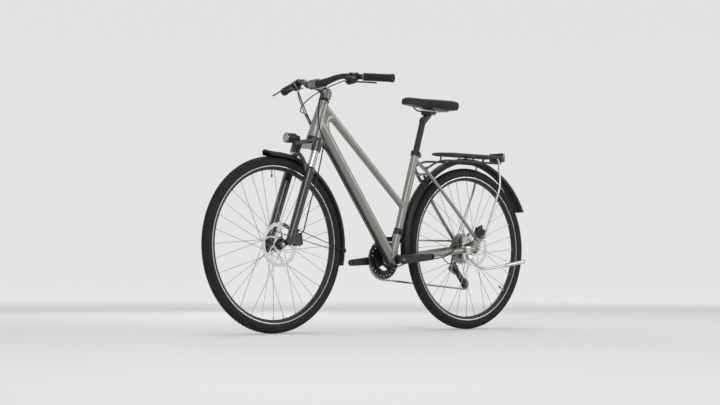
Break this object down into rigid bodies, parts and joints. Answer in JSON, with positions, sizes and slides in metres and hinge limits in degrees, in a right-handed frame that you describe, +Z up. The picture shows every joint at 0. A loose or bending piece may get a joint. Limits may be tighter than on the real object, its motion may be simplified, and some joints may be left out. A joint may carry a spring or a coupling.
{
  "type": "hybrid bike",
  "caption": "Trekking hybrid bicycle with suspension fork, disc brakes, mudguards, rear rack, lamps and side stand.",
  "frame": {"origin": "on the ground under the middle of the wheelbase, centred between the rider's left and right", "axes": "+Z up, +X from the front wheel to the rear wheel, +Y towards the chain side (the rider's right)"},
  "size_m": [1.8191, 0.6926, 1.0537],
  "materials": {
    "frame_paint": "satin metallic",
    "gloss_black": "gloss",
    "satin_black": "satin",
    "guard_black": "matte",
    "black_plastic": "matte",
    "black_rubber": "matte",
    "tyre_rubber": "matte",
    "saddle_cover": "matte",
    "silver": "satin",
    "grey_alloy": "satin",
    "steel": "brushed",
    "hub_black": "anodised",
    "rack_grey": "satin",
    "clear_lens": "gloss",
    "red_lens": "gloss"
  },
  "bodies": {
    "frame": {"frame": "frame_paint", "headset_lower": "satin_black", "headset_upper": "satin_black", "seat_clamp": "satin_black", "bottom_bracket": "satin_black", "chain": "steel", "rear_derailleur": "satin_black", "derailleur_cage": "satin_black", "front_derailleur": "satin_black", "rear_caliper": "satin_black", "rear_mudguard": "guard_black", "rack": "rack_grey", "rack_strut": "silver", "tail_light": "red_lens", "kickstand_mount": "silver", "rear_axle": "steel", "rear_brake_hose": "black_rubber", "shift_cable_rear": "black_rubber", "shift_cable_front": "black_rubber"},
    "seat": {"seatpost": "satin_black", "saddle_rails": "steel", "saddle": "saddle_cover"},
    "steering": {"fork_crown": "gloss_black", "headset_spacer": "satin_black", "stem": "grey_alloy", "stem_faceplate": "grey_alloy", "handlebar": "satin_black", "grip_left": "black_rubber", "grip_right": "black_rubber", "brake_body_left": "satin_black", "brake_body_right": "satin_black", "shifter_left": "black_plastic", "shifter_right": "black_plastic"},
    "lever_left": {"brake_lever_left": "satin_black"},
    "lever_right": {"brake_lever_right": "satin_black"},
    "trigger_left": {"shift_trigger_left": "black_plastic"},
    "trigger_right": {"shift_trigger_right": "black_plastic"},
    "fork_lower": {"fork_lowers": "gloss_black", "front_caliper": "satin_black", "front_mudguard": "guard_black", "front_axle": "steel", "headlight": "black_plastic", "headlight_lens": "clear_lens", "front_brake_hose": "black_rubber"},
    "front_wheel": {"front_tyre": "tyre_rubber", "front_rim": "satin_black", "front_hub_spokes": "hub_black", "front_rotor": "steel"},
    "rear_wheel": {"rear_tyre": "tyre_rubber", "rear_rim": "satin_black", "rear_hub_spokes": "hub_black", "rear_rotor": "steel"},
    "rear_sprockets": {"cassette": "steel"},
    "crankset": {"crank_right": "satin_black", "crank_left": "satin_black", "chainrings": "satin_black"},
    "upper_pulley": {"guide_pulley": "black_plastic"},
    "lower_pulley": {"tension_pulley": "black_plastic"},
    "stand": {"kickstand_leg": "silver", "kickstand_foot": "black_plastic"}
  },
  "joints": [
    {"name": "steering", "type": "hinge", "parent": "frame", "child": "steering", "pos_m": [-0.50727, 0, 0.33887], "axis": [0.342, 0, 0.9397], "range_deg": [-70, 70], "deforming": ["rear_brake_hose", "shift_cable_rear", "shift_cable_front"]},
    {"name": "fork_travel", "type": "slide", "parent": "steering", "child": "fork_lower", "axis": [0.342, 0, 0.9397], "range_m": [0, 0.05], "stiffness_N_per_m": 8000, "springref_m": -0.02, "deforming": ["front_brake_hose"]},
    {"name": "front_wheel_spin", "type": "hinge", "parent": "fork_lower", "child": "front_wheel", "pos_m": [-0.5505, 0, 0.3546], "axis": [0, 1, 0], "continuous": true},
    {"name": "rear_wheel_spin", "type": "hinge", "parent": "frame", "child": "rear_wheel", "pos_m": [0.5505, 0, 0.3546], "axis": [0, 1, 0], "continuous": true},
    {"name": "crank_spin", "type": "hinge", "parent": "frame", "child": "crankset", "pos_m": [0.09998, 0, 0.301], "axis": [0, 1, 0], "continuous": true},
    {"name": "sprocket_spin", "type": "hinge", "parent": "frame", "child": "rear_sprockets", "pos_m": [0.5505, 0, 0.3546], "axis": [0, 1, 0], "continuous": true},
    {"name": "upper_pulley_spin", "type": "hinge", "parent": "frame", "child": "upper_pulley", "pos_m": [0.53, 0, 0.268], "axis": [0, 1, 0], "continuous": true},
    {"name": "lower_pulley_spin", "type": "hinge", "parent": "frame", "child": "lower_pulley", "pos_m": [0.592, 0, 0.198], "axis": [0, 1, 0], "continuous": true},
    {"name": "brake_pull_left", "type": "hinge", "parent": "steering", "child": "lever_left", "pos_m": [-0.30978, -0.21127, 1.01616], "axis": [-0.3334, -0.2229, 0.9161], "range_deg": [0, 18], "stiffness_Nm_per_rad": 1.2, "springref_deg": -17.19},
    {"name": "brake_pull_right", "type": "hinge", "parent": "steering", "child": "lever_right", "pos_m": [-0.30978, 0.21127, 1.01616], "axis": [0.3334, -0.2229, -0.9161], "range_deg": [0, 18], "stiffness_Nm_per_rad": 1.2, "springref_deg": -17.19},
    {"name": "shift_press_left", "type": "hinge", "parent": "steering", "child": "trigger_left", "pos_m": [-0.29513, -0.16638, 1.01386], "axis": [0.3334, 0.2229, -0.9161], "range_deg": [0, 25], "stiffness_Nm_per_rad": 0.3, "springref_deg": -17.19},
    {"name": "shift_press_right", "type": "hinge", "parent": "steering", "child": "trigger_right", "pos_m": [-0.29513, 0.16638, 1.01386], "axis": [-0.3334, 0.2229, 0.9161], "range_deg": [0, 25], "stiffness_Nm_per_rad": 0.3, "springref_deg": -17.19},
    {"name": "stand_swing", "type": "hinge", "parent": "frame", "child": "stand", "pos_m": [0.478, -0.087, 0.312], "axis": [0, 0.9563, -0.2924], "range_deg": [0, 113]},
    {"name": "seat_height", "type": "slide", "parent": "frame", "child": "seat", "axis": [0.2924, 0, 0.9563], "range_m": [-0.1, 0.05]}
  ],
  "couplings": [
    {"joint": "sprocket_spin", "follows": "crank_spin", "ratio": 2.4706},
    {"joint": "upper_pulley_spin", "follows": "crank_spin", "ratio": -3.8182},
    {"joint": "lower_pulley_spin", "follows": "crank_spin", "ratio": 3.8182}
  ]
}
